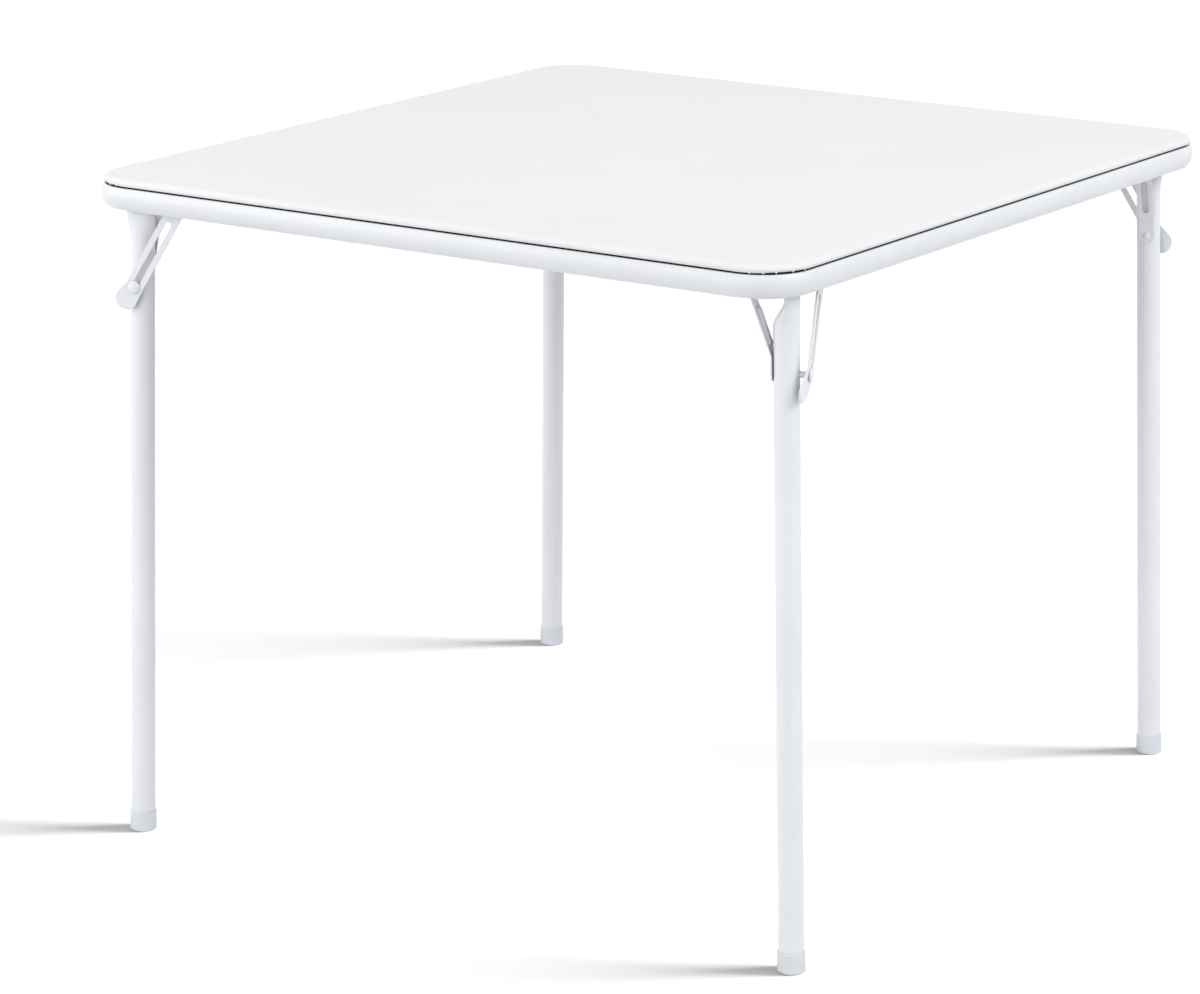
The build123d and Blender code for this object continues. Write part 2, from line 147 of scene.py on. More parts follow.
# The stage: half the floor's width, and the tints of the light from all round and of the floor's bounce
FLOOR_REACH = 30
SURROUND_TINT = (0.96, 0.98, 1.0)
BOUNCE_TINT = (0.95, 0.965, 1)

# Where the photograph was taken from, with the angles in radians and the focal length in image widths
CAMERA_PLACE = (2.5906, -3.8161, 1.5701)
CAMERA_YAW = 0.610
CAMERA_PITCH = 0.262
CAMERA_ROLL = -0.005
FOCAL_WIDTHS = 4410.6 / 1200
SENSOR_WIDTH = 36

# The low sun shines across the picture from its right: its rise over the floor and its width
SUN_RISE = math.radians(15)
SUN_WIDTH = math.radians(25)

# The soft lamps, in metres, with the setting that holds each one's power, and the point they are aimed at
LampPlan = namedtuple("LampPlan", "name place size colour setting")
LAMPS = (
    LampPlan("key_lamp", (-2.3, -2.0, 1.25), (2.6, 2.0), (1, 0.995, 0.985), "key_power"),
    LampPlan("front_lamp", (0.3, -4.2, 1.4), (2.6, 2.4), (1, 1, 1), "front_power"),
    LampPlan("fill_lamp", (4.0, 0.35, 3.2), (2.6, 2.6), (0.98, 0.99, 1), "fill_power"),
    LampPlan("top_lamp", (0, 0, 3.6), (2.6, 2.6), (1, 1, 1), "top_power"),
)
LAMP_TARGET = (0, 0, 0.4)

# A point of the cover's outline: its place, its outward direction, and how far it is in a fold and drawn up
EdgePoint = namedtuple("EdgePoint", "place out pinch drawn")


class CoverSettings(bpy.types.PropertyGroup):
    colour: FloatVectorProperty(
        name="Vinyl colour", description="Colour of the vinyl cover", subtype="COLOR",
        size=3, min=0, max=1, default=(0.865, 0.86, 0.85),
    )
    edge_roll: FloatProperty(
        name="Edge roll", description="How far in from the edge the padding rolls over",
        subtype="DISTANCE", unit="LENGTH", default=9 * MM, min=3 * MM, max=30 * MM,
    )
    gather_width: FloatProperty(
        name="Gather width", description="Width of one pinched fold of vinyl at a corner",
        subtype="DISTANCE", unit="LENGTH", default=1.3 * MM, min=0.5 * MM, max=4 * MM,
    )
    gather_hang: FloatProperty(
        name="Gather hang", description="How far a pinched fold hangs down over the dark edging",
        subtype="DISTANCE", unit="LENGTH", default=1.2 * MM, min=0, max=1.5 * MM,
    )
    corner_lift: FloatProperty(
        name="Corner lift", description="How far the cover's lower edge is drawn up between two folds",
        subtype="DISTANCE", unit="LENGTH", default=0.7 * MM, min=0, max=1.2 * MM,
    )
    grain_size: FloatProperty(
        name="Grain size", description="Width of one cell of the vinyl's grain",
        subtype="DISTANCE", unit="LENGTH", default=1.1 * MM, min=0.2 * MM, max=5 * MM,
    )


class SteelSettings(bpy.types.PropertyGroup):
    colour: FloatVectorProperty(
        name="Coat colour", description="Colour of the powder coat", subtype="COLOR",
        size=3, min=0, max=1, default=(0.869, 0.878, 0.902),
    )
    roughness: FloatProperty(
        name="Coat roughness", description="Roughness of the powder coat", default=0.34, min=0, max=1,
    )
    edge_round: FloatProperty(
        name="Edge rounding", description="Radius of the coated edges of the pressed pieces",
        subtype="DISTANCE", unit="LENGTH", default=0.35 * MM, min=0, max=1 * MM,
    )


class PlasticSettings(bpy.types.PropertyGroup):
    foot_colour: FloatVectorProperty(
        name="Foot colour", description="Colour of the moulded feet", subtype="COLOR",
        size=3, min=0, max=1, default=(0.80, 0.825, 0.85),
    )
    # The black edging stands in for the shadow gap under the cover's edge: painted shadow
    painted_shadow_colour: FloatVectorProperty(
        name="Edging colour", description="Colour of the dark edging under the cover", subtype="COLOR",
        size=3, min=0, max=1, default=(0.012, 0.012, 0.013),
    )


class PanelBoardSettings(bpy.types.PropertyGroup):
    colour: FloatVectorProperty(
        name="Board colour", description="Colour of the hardboard panel", subtype="COLOR",
        size=3, min=0, max=1, default=(0.22, 0.125, 0.065),
    )


class StageSettings(bpy.types.PropertyGroup):
    floor_colour: FloatVectorProperty(
        name="Floor colour", description="Colour of the studio floor", subtype="COLOR",
        size=3, min=0, max=1, default=(0.30, 0.30, 0.30),
    )
    floor_glow: FloatProperty(
        name="Floor glow", description="Level that whitens the floor where it is seen",
        default=0.18, min=0, max=1,
    )
    bounce_share: FloatProperty(
        name="Floor bounce", description="Share of the floor's colour that it throws back on the table",
        subtype="FACTOR", default=0.67, min=0, max=1,
    )
    surround: FloatProperty(
        name="Surround", description="Level of the light from all round", default=0.68, min=0, max=2,
    )
    key_power: FloatProperty(
        name="Key lamp", description="Power of the large soft lamp on the left",
        subtype="POWER", unit="POWER", default=28, min=0, max=1000,
    )
    fill_power: FloatProperty(
        name="Fill lamp", description="Power of the soft lamp on the right",
        subtype="POWER", unit="POWER", default=75, min=0, max=1000,
    )
    front_power: FloatProperty(
        name="Front lamp", description="Power of the soft lamp in front",
        subtype="POWER", unit="POWER", default=26, min=0, max=1000,
    )
    top_power: FloatProperty(
        name="Top lamp", description="Power of the soft lamp overhead",
        subtype="POWER", unit="POWER", default=10, min=0, max=1000,
    )
    floor_sun: FloatProperty(
        name="Floor sun", description="Strength of the low light that only the floor takes",
        default=25.5, min=0, max=60,
    )


# Finishes

def new_finish(name, roughness):
    """A material with one shader, and its node tree."""
    finish = bpy.data.materials.new(name)
    finish.use_nodes = True
    tree = finish.node_tree
    shader = tree.nodes["Principled BSDF"]
    shader.inputs["Roughness"].default_value = roughness
    return finish, tree, shader


def place_noise(tree, scale, detail=2.0):
    """Noise fixed to the piece."""
    place = tree.nodes.new("ShaderNodeTexCoord")
    cloud = tree.nodes.new("ShaderNodeTexNoise")
    cloud.inputs["Scale"].default_value = scale
    cloud.inputs["Detail"].default_value = detail
    tree.links.new(place.outputs["Object"], cloud.inputs["Vector"])
    return cloud.outputs["Fac"]


def place_cells(tree, scale):
    """Cells fixed to the piece, as the distance to each cell's edge."""
    place = tree.nodes.new("ShaderNodeTexCoord")
    cells = tree.nodes.new("ShaderNodeTexVoronoi")
    cells.feature = "DISTANCE_TO_EDGE"
    cells.inputs["Scale"].default_value = scale
    tree.links.new(place.outputs["Object"], cells.inputs["Vector"])
    return cells.outputs["Distance"]


def colour_between(tree, shader, amount, low, high, start=0.3, end=0.7):
    """The base colour runs from low to high with an amount."""
    ramp = tree.nodes.new("ShaderNodeValToRGB")
    ramp.color_ramp.elements[0].position = start
    ramp.color_ramp.elements[1].position = end
    ramp.color_ramp.elements[0].color = (*low, 1)
    ramp.color_ramp.elements[1].color = (*high, 1)
    tree.links.new(amount, ramp.inputs["Fac"])
    tree.links.new(ramp.outputs["Color"], shader.inputs["Base Color"])


def raise_surface(tree, shader, amount, height, strength=1.0):
    """A bump of one height in metres, on top of any bump already there."""
    bump = tree.nodes.new("ShaderNodeBump")
    bump.inputs["Strength"].default_value = strength
    bump.inputs["Distance"].default_value = height
    tree.links.new(amount, bump.inputs["Height"])
    before = shader.inputs["Normal"].links
    if before:
        tree.links.new(before[0].from_socket, bump.inputs["Normal"])
    tree.links.new(bump.outputs["Normal"], shader.inputs["Normal"])


def vary_roughness(tree, shader, amount, low, high):
    """The roughness runs from low to high with an amount."""
    spread = tree.nodes.new("ShaderNodeMapRange")
    spread.inputs["To Min"].default_value = low
    spread.inputs["To Max"].default_value = high
    tree.links.new(amount, spread.inputs["Value"])
    tree.links.new(spread.outputs["Result"], shader.inputs["Roughness"])


def paint_recess_shade(tree, shader):
    """Paints shade into the colour: darker where other surfaces come near, standing in for the shade in
    recesses.
    """
    colour = shader.inputs["Base Color"].links[0].from_socket
    openness = tree.nodes.new("ShaderNodeAmbientOcclusion")
    openness.inputs["Distance"].default_value = PAINTED_SHADE_REACH
    spread = tree.nodes.new("ShaderNodeMapRange")
    spread.inputs["From Min"].default_value = PAINTED_SHADE_CLOSED
    spread.inputs["From Max"].default_value = PAINTED_SHADE_OPEN
    spread.inputs["To Min"].default_value = PAINTED_SHADE_DARKEST
    tree.links.new(openness.outputs["AO"], spread.inputs["Value"])
    shaded_colour = tree.nodes.new("ShaderNodeVectorMath")
    shaded_colour.operation = "SCALE"
    tree.links.new(colour, shaded_colour.inputs[0])
    tree.links.new(spread.outputs["Result"], shaded_colour.inputs["Scale"])
    tree.links.new(shaded_colour.outputs["Vector"], shader.inputs["Base Color"])


def shade(colour, factor):
    """A colour made darker or lighter by a factor."""
    return tuple(channel * factor for channel in colour)


def powder_coat(name, settings, factor=1.0, with_painted_shade=True):
    """White powder coat: an even tone, a fine orange-peel skin and a soft gloss, with painted shade in
    recesses when asked.
    """
    finish, tree, shader = new_finish(name, settings.roughness)
    colour = shade(settings.colour, factor)
    tone = place_noise(tree, 9, 3)
    colour_between(tree, shader, tone, shade(colour, 0.975), shade(colour, 1.015))
    vary_roughness(tree, shader, place_noise(tree, 60), settings.roughness - 0.05, settings.roughness + 0.07)
    raise_surface(tree, shader, place_noise(tree, 900, 1.0), 0.03 * MM, 0.5)
    shader.inputs["Coat Weight"].default_value = 0.15
    shader.inputs["Coat Roughness"].default_value = 0.25
    # Painted shade: the colour is darkened where other surfaces come near
    if with_painted_shade:
        paint_recess_shade(tree, shader)
    return finish


def white_vinyl(settings):
    """Soft vinyl with a fine leather grain."""
    finish, tree, shader = new_finish("white_vinyl", 0.5)
    cells = place_cells(tree, 1 / settings.grain_size)
    tone = place_noise(tree, 5, 4)
    colour_between(tree, shader, tone, shade(settings.colour, 0.985), shade(settings.colour, 1.01))
    vary_roughness(tree, shader, cells, 0.6, 0.42)
    raise_surface(tree, shader, cells, 0.12 * MM, 0.35)
    raise_surface(tree, shader, place_noise(tree, 2400, 2), 0.02 * MM, 0.4)
    shader.inputs["Sheen Weight"].default_value = 0.05
    shader.inputs["Sheen Roughness"].default_value = 0.4
    return finish


def hardboard(settings):
    """Pressed brown fibre with the imprint of the press's screen."""
    finish, tree, shader = new_finish("hardboard", 0.8)
    fibres = place_noise(tree, 420, 6)
    colour_between(tree, shader, fibres, shade(settings.colour, 0.72), shade(settings.colour, 1.3))
    place = tree.nodes.new("ShaderNodeTexCoord")
    for direction in ("X", "Y"):
        wires = tree.nodes.new("ShaderNodeTexWave")
        wires.bands_direction = direction
        wires.inputs["Scale"].default_value = 210
        wires.inputs["Distortion"].default_value = 0.6
        tree.links.new(place.outputs["Object"], wires.inputs["Vector"])
        raise_surface(tree, shader, wires.outputs["Fac"], 0.12 * MM, 0.5)
    raise_surface(tree, shader, fibres, 0.1 * MM, 0.4)
    return finish


def dark_edging(settings):
    """Matte black strip with fine scuffs: a dark sheet laid where the cover meets the rim, standing in for
    the shadow gap there as painted shadow.
    """
    finish, tree, shader = new_finish("dark_edging", 0.7)
    scuffs = place_noise(tree, 160, 5)
    colour_between(tree, shader, scuffs, settings.painted_shadow_colour, shade(settings.painted_shadow_colour, 1.8), 0.5, 0.8)
    vary_roughness(tree, shader, scuffs, 0.75, 0.9)
    raise_surface(tree, shader, scuffs, 0.05 * MM, 0.3)
    shader.inputs["Specular IOR Level"].default_value = 0.15
    return finish


def moulded_plastic(name, colour):
    """Satin moulded plastic with a fine spark-eroded skin."""
    finish, tree, shader = new_finish(name, 0.42)
    tone = place_noise(tree, 40, 3)
    colour_between(tree, shader, tone, shade(colour, 0.97), shade(colour, 1.02))
    vary_roughness(tree, shader, place_noise(tree, 300), 0.36, 0.5)
    raise_surface(tree, shader, place_noise(tree, 2600, 1), 0.03 * MM, 0.4)
    shader.inputs["Subsurface Weight"].default_value = 0.04
    return finish


def zinc_plate(name):
    """Plated steel wire and screws, slightly clouded."""
    finish, tree, shader = new_finish(name, 0.35)
    clouds = place_noise(tree, 350, 4)
    colour_between(tree, shader, clouds, *ZINC_COLOURS)
    vary_roughness(tree, shader, clouds, 0.25, 0.45)
    raise_surface(tree, shader, place_noise(tree, 3000, 1), 0.01 * MM, 0.3)
    shader.inputs["Metallic"].default_value = 1.0
    return finish


def cream_foam():
    """Open-cell foam."""
    finish, tree, shader = new_finish("cream_foam", 0.9)
    cells = place_cells(tree, 1 / (0.8 * MM))
    colour_between(tree, shader, cells, *FOAM_COLOURS, 0.0, 0.3)
    raise_surface(tree, shader, cells, 0.3 * MM, 0.6)
    return finish


# Shapes

def give_finish(node_name, finish):
    """One finish on every slot of a CAD node."""
    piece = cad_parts[node_name]
    if not piece.material_slots:
        piece.data.materials.append(finish)
    for place in piece.material_slots:
        place.material = finish
    return piece


def soften_edges(piece, width, angle=30):
    """Rounds the sharp edges of a pressed or moulded piece."""
    weld = piece.modifiers.new("weld", "WELD")
    weld.merge_threshold = 0.002 * MM
    if width:
        bevel = piece.modifiers.new("soft_edges", "BEVEL")
        bevel.width = width
        bevel.segments = 2
        bevel.limit_method = "ANGLE"
        bevel.angle_limit = math.radians(angle)
        bevel.harden_normals = False
    piece.data.shade_smooth()
    normals = piece.modifiers.new("even_shading", "WEIGHTED_NORMAL")
    normals.keep_sharp = True


def ease(share):
    """A smooth step from 0 to 1."""
    share = min(max(share, 0.0), 1.0)
    return share * share * (3 - 2 * share)


def bend_shares(folds, steps, fold_width):
    """Where a corner's outline has points, as shares of its bend: closer together at the folds."""
    reach = FOLD_REACH * fold_width / BEND_LENGTH
    shares = [step / steps for step in range(steps)]
    for fold in folds:
        shares = [share for share in shares if abs(share - fold) > FOLD_MARGIN * reach]
        shares += [fold + reach * step / FOLD_STEPS for step in range(-FOLD_STEPS, FOLD_STEPS + 1)]
    return sorted(shares)


def edge_points(inset, straight_steps, corner_steps, fold_width=0.0):
    """Points round the square with round corners, set in from the rim's line, with folds of a width."""
    half = SIDE / 2 - inset
    radius = max(CORNER_RADIUS - inset, CORNER_RADIUS / 4)
    run = half - radius
    fold_half = FOLD_HALF * (fold_width / BEND_LENGTH)
    points = []
    for quarter, folds in enumerate(CORNER_FOLDS):
        turn = Matrix.Rotation(quarter * QUARTER, 3, "Z")
        for step in range(straight_steps):
            along = run * (2 * step / straight_steps - 1)
            points.append(EdgePoint(turn @ Vector((half, along, 0)), turn @ Vector((1, 0, 0)), 0.0, 0.0))
        if not fold_width:
            folds = ()
        for share in bend_shares(folds, corner_steps, fold_width):
            out = Vector((math.cos(share * QUARTER), math.sin(share * QUARTER), 0))
            pinch, drawn = 0.0, 0.0
            if folds:
                pinch = max(math.exp(-((share - fold) / fold_half) ** 2) for fold in folds)
                drawn = ease((share - DRAWN_FROM) / DRAWN_RISE) * ease((1 - share) / DRAWN_FALL) * (1 - pinch)
            points.append(EdgePoint(turn @ (Vector((run, run, 0)) + out * radius), turn @ out, pinch, drawn))
    return points


def mesh_from_rings(name, rings, closed_ends=(False, False), closed_round=False):
    """A skin through rings of points, with a face over either end or joined from last to first."""
    mesh = bpy.data.meshes.new(name)
    form = bmesh.new()
    rows = [[form.verts.new(point) for point in ring] for ring in rings]
    pairs = list(zip(rows, rows[1:]))
    if closed_round:
        pairs.append((rows[-1], rows[0]))
    count = len(rows[0])
    for low, high in pairs:
        for index in range(count):
            after = (index + 1) % count
            form.faces.new((low[index], low[after], high[after], high[index]))
    if closed_ends[0]:
        form.faces.new(reversed(rows[0]))
    if closed_ends[1]:
        form.faces.new(rows[-1])
    bmesh.ops.recalc_face_normals(form, faces=form.faces)
    form.to_mesh(mesh)
    form.free()
    mesh.shade_smooth()
    piece = bpy.data.objects.new(name, mesh)
    bpy.context.scene.collection.objects.link(piece)
    return piece


def crown_drop(depth, roll):
    """How far the padded top has rolled down at a depth in from the cover's edge, as a share of its roll."""
    if depth >= roll:
        return 0.0
    share = 1 - depth / roll
    return 1 - (1 - share**ROLL_INSIDE) ** (1 / ROLL_OUTSIDE)


def cover_skin(settings):
    """The vinyl as one skin: hem, side wall with its pinched folds, rolled edge and crown."""
    roll = settings.edge_roll
    roll_height = ROLL_SHARE * (CROWN - HEM_LOW)
    lift, hang = settings.corner_lift, settings.gather_hang
    rings = []

    def ring(inset, height, drawn_in=0.0, drawn_up=0.0, fold_out=0.0, fold_down=0.0, wave=0.0):
        points = []
        inset += TUCK * max(1 - (height - HEM_LOW) / TUCK_HEIGHT, 0) ** 2 - BULGE
        for edge in edge_points(inset, STRAIGHT_STEPS, CORNER_STEPS, settings.gather_width):
            out = edge.pinch * hang * fold_out - edge.drawn * lift * drawn_in
            level = height + edge.drawn * lift * drawn_up - edge.pinch * hang * fold_down
            swell = noise.noise(Vector((edge.place.x * SWELLS, edge.place.y * SWELLS, 3))) * wave
            points.append(edge.place + edge.out * out + Vector((0, 0, level + swell)))
        rings.append(points)

    for share in HEM_ROWS:
        ring(COVER_INSET + WRAP_WIDTH * share, HEM_LOW)
    for inward, upward, drawn_in, drawn_up, fold_out, fold_down in LOWER_ROWS:
        ring(COVER_INSET + inward * MM, HEM_LOW + upward * MM, drawn_in, drawn_up, fold_out, fold_down)
    for share in ROLL_ROWS:
        depth = share * roll
        height = CROWN - roll_height * crown_drop(depth, roll) - 0.05 * MM
        ring(COVER_INSET + depth, height, 0.0, 0.15 * (1 - share) ** 4, 0.16 * (1 - share) ** 3)
    for depth in CROWN_ROWS:
        ring(COVER_INSET + depth * MM, CROWN - 0.1 * MM, wave=SWELL_HEIGHT)
    skin = mesh_from_rings("padded_cover", rings, closed_ends=(False, True))
    thickness = skin.modifiers.new("skin", "SOLIDIFY")
    thickness.thickness = COVER_SKIN
    thickness.offset = -1
    return skin


def foam_form(settings):
    """The foam inside the cover: flat on the board, rolled over at its edge."""
    roll = settings.edge_roll
    rings = []
    inset = COVER_INSET + 2 * COVER_SKIN
    top = CROWN - COVER_SKIN - 0.25 * MM
    rise = top - BOARD_HIGH

    def ring(depth, height):
        edges = edge_points(inset + depth, FOAM_STEPS, FOAM_STEPS)
        rings.append([edge.place + Vector((0, 0, height)) for edge in edges])

    ring(30 * MM, BOARD_HIGH)
    ring(0.4 * MM, BOARD_HIGH)
    ring(0, BOARD_HIGH + 0.2 * rise)
    for share in (0.02, 0.07, 0.15, 0.3, 0.5, 0.75, 1.0):
        ring(share * roll, top - 0.8 * rise * crown_drop(share * roll, roll))
    ring(60 * MM, top)
    return mesh_from_rings("foam_pad", rings, closed_ends=(True, True))


def painted_shadow_edging_form(settings):
    """The black edging: a flat strip on the rim, which also fills the space under the drawn-up cover, laid
    where there is a shadow gap, as painted shadow.
    """
    rings = []

    def ring(inset, height, bulge=0.0, rise=0.0):
        points = []
        for edge in edge_points(inset, STRAIGHT_STEPS, CORNER_STEPS, settings.gather_width):
            lift = edge.drawn * settings.corner_lift
            points.append(edge.place + edge.out * lift * bulge + Vector((0, 0, height + lift * rise)))
        rings.append(points)

    ring(STRIP_INSET + STRIP_WIDTH, STRIP_LOW)
    ring(STRIP_INSET + 0.1 * MM, STRIP_LOW)
    ring(STRIP_INSET, STRIP_LOW + 0.1 * MM, 0.1)
    ring(STRIP_INSET, HEM_LOW - 0.5 * MM, 0.4)
    ring(STRIP_INSET, HEM_LOW, 0.55, 0.6)
    ring(STRIP_INSET + 0.3 * MM, HEM_LOW, 0.0, 0.62)
    ring(STRIP_INSET + 0.9 * MM, HEM_LOW)
    ring(STRIP_INSET + STRIP_WIDTH, HEM_LOW)
    return mesh_from_rings("edging_strip", rings, closed_round=True)


# Stage

def aim(piece, target):
    """Turns a lamp towards a point."""
    direction = Vector(target) - piece.location
    piece.rotation_euler = direction.to_track_quat("-Z", "Y").to_euler()


def soft_lamp(plan, power):
    """A wide lamp, which the camera doesn't see."""
    lamp = bpy.data.lights.new(plan.name, "AREA")
    lamp.shape = "RECTANGLE"
    lamp.size, lamp.size_y = plan.size
    lamp.energy = power
    lamp.color = plan.colour
    holder = bpy.data.objects.new(plan.name, lamp)
    holder.location = plan.place
    holder.visible_camera = False
    bpy.context.scene.collection.objects.link(holder)
    aim(holder, LAMP_TARGET)


def white_where_seen(tree, seen_level):
    """1 where the camera, a reflection or a clear piece sees a surface, and the same times a level."""
    path = tree.nodes.new("ShaderNodeLightPath")
    most = None
    for ray in ("Is Camera Ray", "Is Glossy Ray", "Is Transmission Ray"):
        if most is None:
            most = path.outputs[ray]
            continue
        larger = tree.nodes.new("ShaderNodeMath")
        larger.operation = "MAXIMUM"
        tree.links.new(most, larger.inputs[0])
        tree.links.new(path.outputs[ray], larger.inputs[1])
        most = larger.outputs[0]
    level = tree.nodes.new("ShaderNodeMath")
    level.operation = "MULTIPLY"
    level.inputs[1].default_value = seen_level
    tree.links.new(most, level.inputs[0])
    return most, level.outputs[0]


def studio_surround(settings):
    """Even light from all round, and plain white where it is seen."""
    world = bpy.data.worlds.new("studio")
    bpy.context.scene.world = world
    world.use_nodes = True
    tree = world.node_tree
    lit = tree.nodes["Background"]
    lit.inputs["Color"].default_value = (*SURROUND_TINT, 1)
    lit.inputs["Strength"].default_value = settings.surround
    seen = tree.nodes.new("ShaderNodeBackground")
    seen.inputs["Color"].default_value = (1, 1, 1, 1)
    seen.inputs["Strength"].default_value = 1.0
    mix = tree.nodes.new("ShaderNodeMixShader")
    most, _ = white_where_seen(tree, 1.0)
    tree.links.new(most, mix.inputs["Fac"])
    tree.links.new(lit.outputs["Background"], mix.inputs[1])
    tree.links.new(seen.outputs["Background"], mix.inputs[2])
    tree.links.new(mix.outputs["Shader"], tree.nodes["World Output"].inputs["Surface"])


def pale_floor(settings):
    """A wide floor that shows white and keeps the table's soft shadows."""
    mesh = bpy.data.meshes.new("studio_floor")
    form = bmesh.new()
    bmesh.ops.create_grid(form, x_segments=4, y_segments=4, size=FLOOR_REACH)
    form.to_mesh(mesh)
    form.free()
    floor = bpy.data.objects.new("studio_floor", mesh)
    bpy.context.scene.collection.objects.link(floor)
    finish, tree, shader = new_finish("pale_floor", 0.9)
    clouds = place_noise(tree, 2, 2)
    colour_between(tree, shader, clouds, shade(settings.floor_colour, 0.995), settings.floor_colour)
    shader.inputs["Specular IOR Level"].default_value = 0.0
    glow = tree.nodes.new("ShaderNodeEmission")
    glow.inputs["Color"].default_value = (1, 1, 1, 1)
    seen, level = white_where_seen(tree, settings.floor_glow)
    tree.links.new(level, glow.inputs["Strength"])
    both = tree.nodes.new("ShaderNodeAddShader")
    tree.links.new(shader.outputs["BSDF"], both.inputs[0])
    tree.links.new(glow.outputs["Emission"], both.inputs[1])
    bounce = tree.nodes.new("ShaderNodeBsdfDiffuse")
    thrown = shade(settings.floor_colour, settings.bounce_share)
    bounce.inputs["Color"].default_value = (*(tint * level for tint, level in zip(BOUNCE_TINT, thrown)), 1)
    mix = tree.nodes.new("ShaderNodeMixShader")
    tree.links.new(seen, mix.inputs["Fac"])
    tree.links.new(bounce.outputs["BSDF"], mix.inputs[1])
    tree.links.new(both.outputs["Shader"], mix.inputs[2])
    tree.links.new(mix.outputs["Shader"], tree.nodes["Material Output"].inputs["Surface"])
    mesh.materials.append(finish)
    return floor


def low_floor_sun(settings, floor):
    """A low wide light from the right that only the floor takes, for the short streak beside each foot."""
    light = bpy.data.lights.new("floor_sun", "SUN")
    light.energy = settings.floor_sun
    light.angle = SUN_WIDTH
    holder = bpy.data.objects.new("floor_sun", light)
    bpy.context.scene.collection.objects.link(holder)
    level = math.cos(SUN_RISE)
    holder.location = (math.cos(CAMERA_YAW) * level, math.sin(CAMERA_YAW) * level, math.sin(SUN_RISE))
    aim(holder, (0, 0, 0))
    takers = bpy.data.collections.new("floor_only")
    takers.objects.link(floor)
    holder.light_linking.receiver_collection = takers


def table_camera():
    """The camera, at the place and angle of the photograph."""
    yaw, pitch, roll = CAMERA_YAW, CAMERA_PITCH, CAMERA_ROLL
    forward = Vector((-math.sin(yaw) * math.cos(pitch), math.cos(yaw) * math.cos(pitch), -math.sin(pitch)))
    right = Vector((math.cos(yaw), math.sin(yaw), 0))
    up = right.cross(forward)
    level_right = right * math.cos(roll) + up * math.sin(roll)
    level_up = up * math.cos(roll) - right * math.sin(roll)
    lens = bpy.data.cameras.new("camera")
    lens.sensor_fit = "HORIZONTAL"
    lens.sensor_width = SENSOR_WIDTH
    lens.lens = FOCAL_WIDTHS * SENSOR_WIDTH
    lens.clip_end = 100
    camera = bpy.data.objects.new("camera", lens)
    turn = Matrix((level_right, level_up, -forward)).transposed().to_4x4()
    camera.matrix_world = Matrix.Translation(CAMERA_PLACE) @ turn
    bpy.context.scene.collection.objects.link(camera)
    bpy.context.scene.camera = camera


# Operators

class CARDTABLE_OT_stage(bpy.types.Operator):
    """Sets up the floor, the lamps and the camera"""
    bl_idname = "card_table.stage"
    bl_label = "Stage"

    def execute(self, context):
        settings = context.scene.card_table_stage
        studio_surround(settings)
        low_floor_sun(settings, pale_floor(settings))
        table_camera()
        for plan in LAMPS:
            soft_lamp(plan, getattr(settings, plan.setting))
        context.scene.view_settings.view_transform = "Standard"
        return {"FINISHED"}


class CARDTABLE_OT_cover(bpy.types.Operator):
    """Stretches the vinyl cover over the foam and under the board"""
    bl_idname = "card_table.cover"
    bl_label = "Vinyl cover"

    def execute(self, context):
        settings = context.scene.card_table_cover
        foam = foam_form(settings)
        foam.data.materials.append(cream_foam())
        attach(foam, "top")
        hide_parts("foam_sheet")
        cover = cover_skin(settings)
        cover.data.materials.append(white_vinyl(settings))
        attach(cover, "top")
        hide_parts("vinyl_cover")
        return {"FINISHED"}


class CARDTABLE_OT_board(bpy.types.Operator):
    """Finishes the board, the dark edging and the staples"""
    bl_idname = "card_table.board"
    bl_label = "Board and edging"

    def execute(self, context):
        # Finishes the board and the staples, and lays the black edging that stands in for the shadow gap
        # under the cover as painted shadow
        give_finish("top_board", hardboard(context.scene.card_table_board))
        edging = painted_shadow_edging_form(context.scene.card_table_cover)
        edging.data.materials.append(dark_edging(context.scene.card_table_plastic))
        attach(edging, "top")
        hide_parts("edge_strip")
        staples = give_finish("cover_staples", zinc_plate("staple_wire"))
        soften_edges(staples, 0.15 * MM)
        return {"FINISHED"}


class CARDTABLE_OT_rim(bpy.types.Operator):
    """Finishes the rolled steel rim"""
    bl_idname = "card_table.rim"
    bl_label = "Rim"

    def execute(self, context):
        # The rim's coat is a darker copy of the coat, a painted shade, with no painted shade in recesses
        coat = powder_coat("rim_coat", context.scene.card_table_steel, RIM_PAINTED_SHADE, with_painted_shade=False)
        soften_edges(give_finish("rim_frame", coat), 0)
        return {"FINISHED"}


class CARDTABLE_OT_legs(bpy.types.Operator):
    """Finishes the leg tubes and the moulded feet"""
    bl_idname = "card_table.legs"
    bl_label = "Legs and feet"

    def execute(self, context):
        # The legs' coat is a lighter copy of the coat, a painted light, with painted shade in its recesses
        coat = powder_coat("leg_coat", context.scene.card_table_steel, LEG_PAINTED_LIGHT)
        moulding = moulded_plastic("foot_plastic", context.scene.card_table_plastic.foot_colour)
        for corner in CORNERS:
            soften_edges(give_finish(corner + "_leg_tube", coat), 0.2 * MM, 50)
            soften_edges(give_finish(corner + "_foot_cap", moulding), 0, 50)
        return {"FINISHED"}


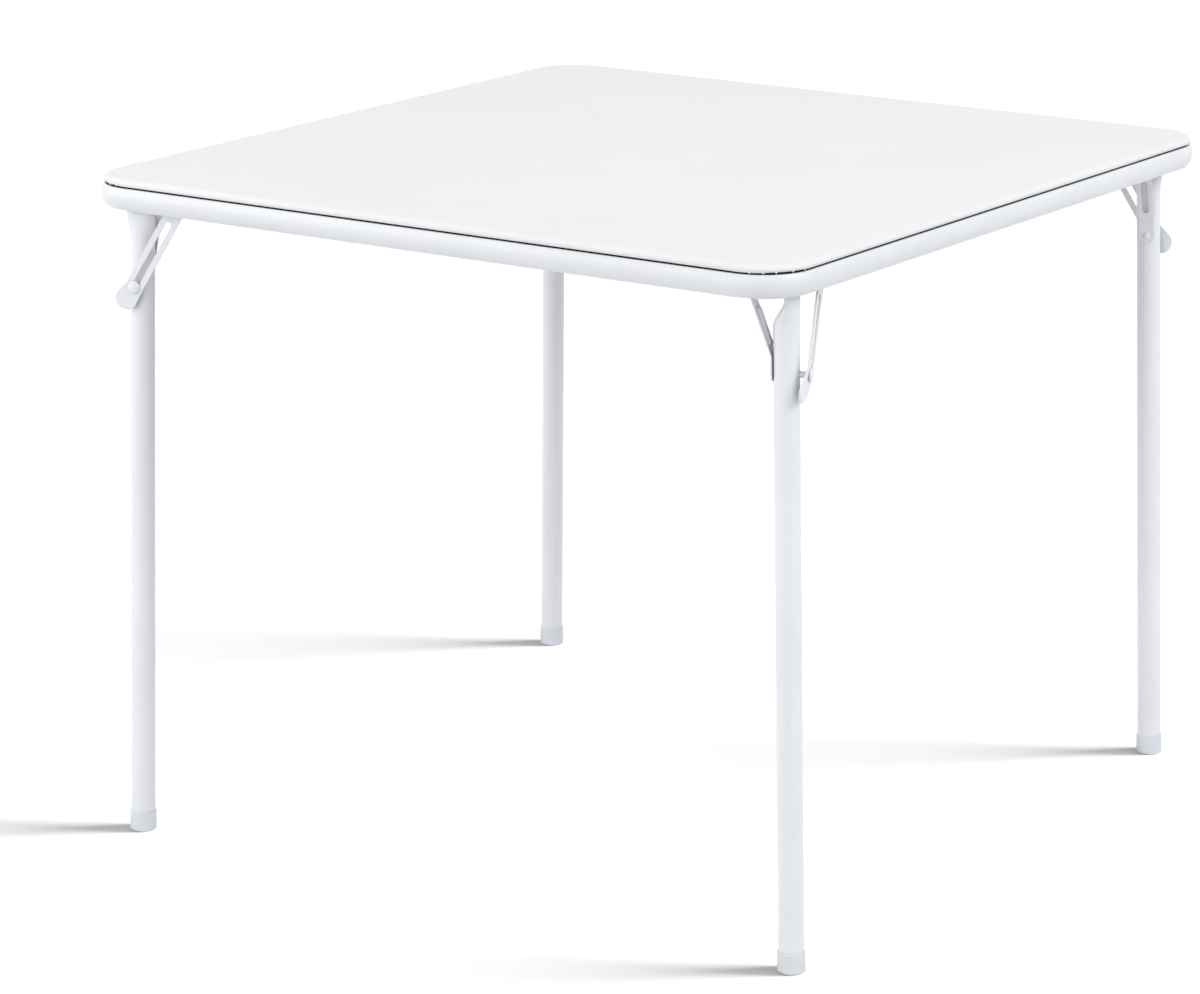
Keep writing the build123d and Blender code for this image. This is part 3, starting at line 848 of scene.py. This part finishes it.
class CARDTABLE_OT_hinges(bpy.types.Operator):
    """Finishes the hinge brackets, rods, washers and sleeves"""
    bl_idname = "card_table.hinges"
    bl_label = "Hinges"

    def execute(self, context):
        steel = context.scene.card_table_steel
        # The bracket coat has painted shade in its recesses
        coat = powder_coat("bracket_coat", steel)
        moulding = moulded_plastic("spacer_plastic", SPACER_COLOUR)
        for corner in CORNERS:
            soften_edges(give_finish(corner + "_hinge_bracket", coat), steel.edge_round)
            soften_edges(give_finish(corner + "_pivot_rod", coat), 0)
            soften_edges(give_finish(corner + "_pivot_washer", moulding), 0.2 * MM)
            soften_edges(give_finish(corner + "_spacer_sleeve", moulding), 0.2 * MM)
        return {"FINISHED"}


class CARDTABLE_OT_locks(bpy.types.Operator):
    """Finishes the struts, the lock straps and their studs and rivets"""
    bl_idname = "card_table.locks"
    bl_label = "Struts and locks"

    def execute(self, context):
        steel = context.scene.card_table_steel
        # The strap coat has painted shade in its recesses
        coat = powder_coat("strap_coat", steel)
        for corner in CORNERS:
            for part in ("_leg_strut", "_lock_strap"):
                soften_edges(give_finish(corner + part, coat), steel.edge_round)
            for part in ("_lock_stud", "_strap_rivet", "_leg_rivet"):
                soften_edges(give_finish(corner + part, coat), 0)
        return {"FINISHED"}


class CARDTABLE_OT_screws(bpy.types.Operator):
    """Finishes the screws under the top"""
    bl_idname = "card_table.screws"
    bl_label = "Screws"

    def execute(self, context):
        plate = zinc_plate("screw_steel")
        for group in ("long_bracket_screws", "short_bracket_screws", "frame_screws"):
            soften_edges(give_finish(group, plate), 0)
        return {"FINISHED"}


STEPS = (
    CARDTABLE_OT_cover,
    CARDTABLE_OT_board,
    CARDTABLE_OT_rim,
    CARDTABLE_OT_legs,
    CARDTABLE_OT_hinges,
    CARDTABLE_OT_locks,
    CARDTABLE_OT_screws,
    CARDTABLE_OT_stage,
)


class CARDTABLE_PT_sidebar(bpy.types.Panel):
    """Lists the steps that build the table"""
    bl_idname = "CARDTABLE_PT_sidebar"
    bl_label = "Card Table"
    bl_space_type = "VIEW_3D"
    bl_region_type = "UI"
    bl_category = "Card Table"

    def draw(self, context):
        column = self.layout.column(align=True)
        for step in STEPS:
            column.operator(step.bl_idname, text=step.bl_label)
        for group_name, group in SETTINGS:
            box = self.layout.box()
            for setting in group.__annotations__:
                box.prop(getattr(context.scene, group_name), setting)


SETTINGS = (
    ("card_table_cover", CoverSettings),
    ("card_table_steel", SteelSettings),
    ("card_table_plastic", PlasticSettings),
    ("card_table_board", PanelBoardSettings),
    ("card_table_stage", StageSettings),
)


def register():
    for name, group in SETTINGS:
        bpy.utils.register_class(group)
        setattr(bpy.types.Scene, name, PointerProperty(type=group))
    for step in STEPS:
        bpy.utils.register_class(step)
    bpy.utils.register_class(CARDTABLE_PT_sidebar)


def unregister():
    bpy.utils.unregister_class(CARDTABLE_PT_sidebar)
    for step in reversed(STEPS):
        bpy.utils.unregister_class(step)
    for name, group in reversed(SETTINGS):
        delattr(bpy.types.Scene, name)
        bpy.utils.unregister_class(group)


def main():
    register()
    bpy.ops.card_table.cover()
    bpy.ops.card_table.board()
    bpy.ops.card_table.rim()
    bpy.ops.card_table.legs()
    bpy.ops.card_table.hinges()
    bpy.ops.card_table.locks()
    bpy.ops.card_table.screws()
    bpy.ops.card_table.stage()


if __name__ == "__main__":
    main()
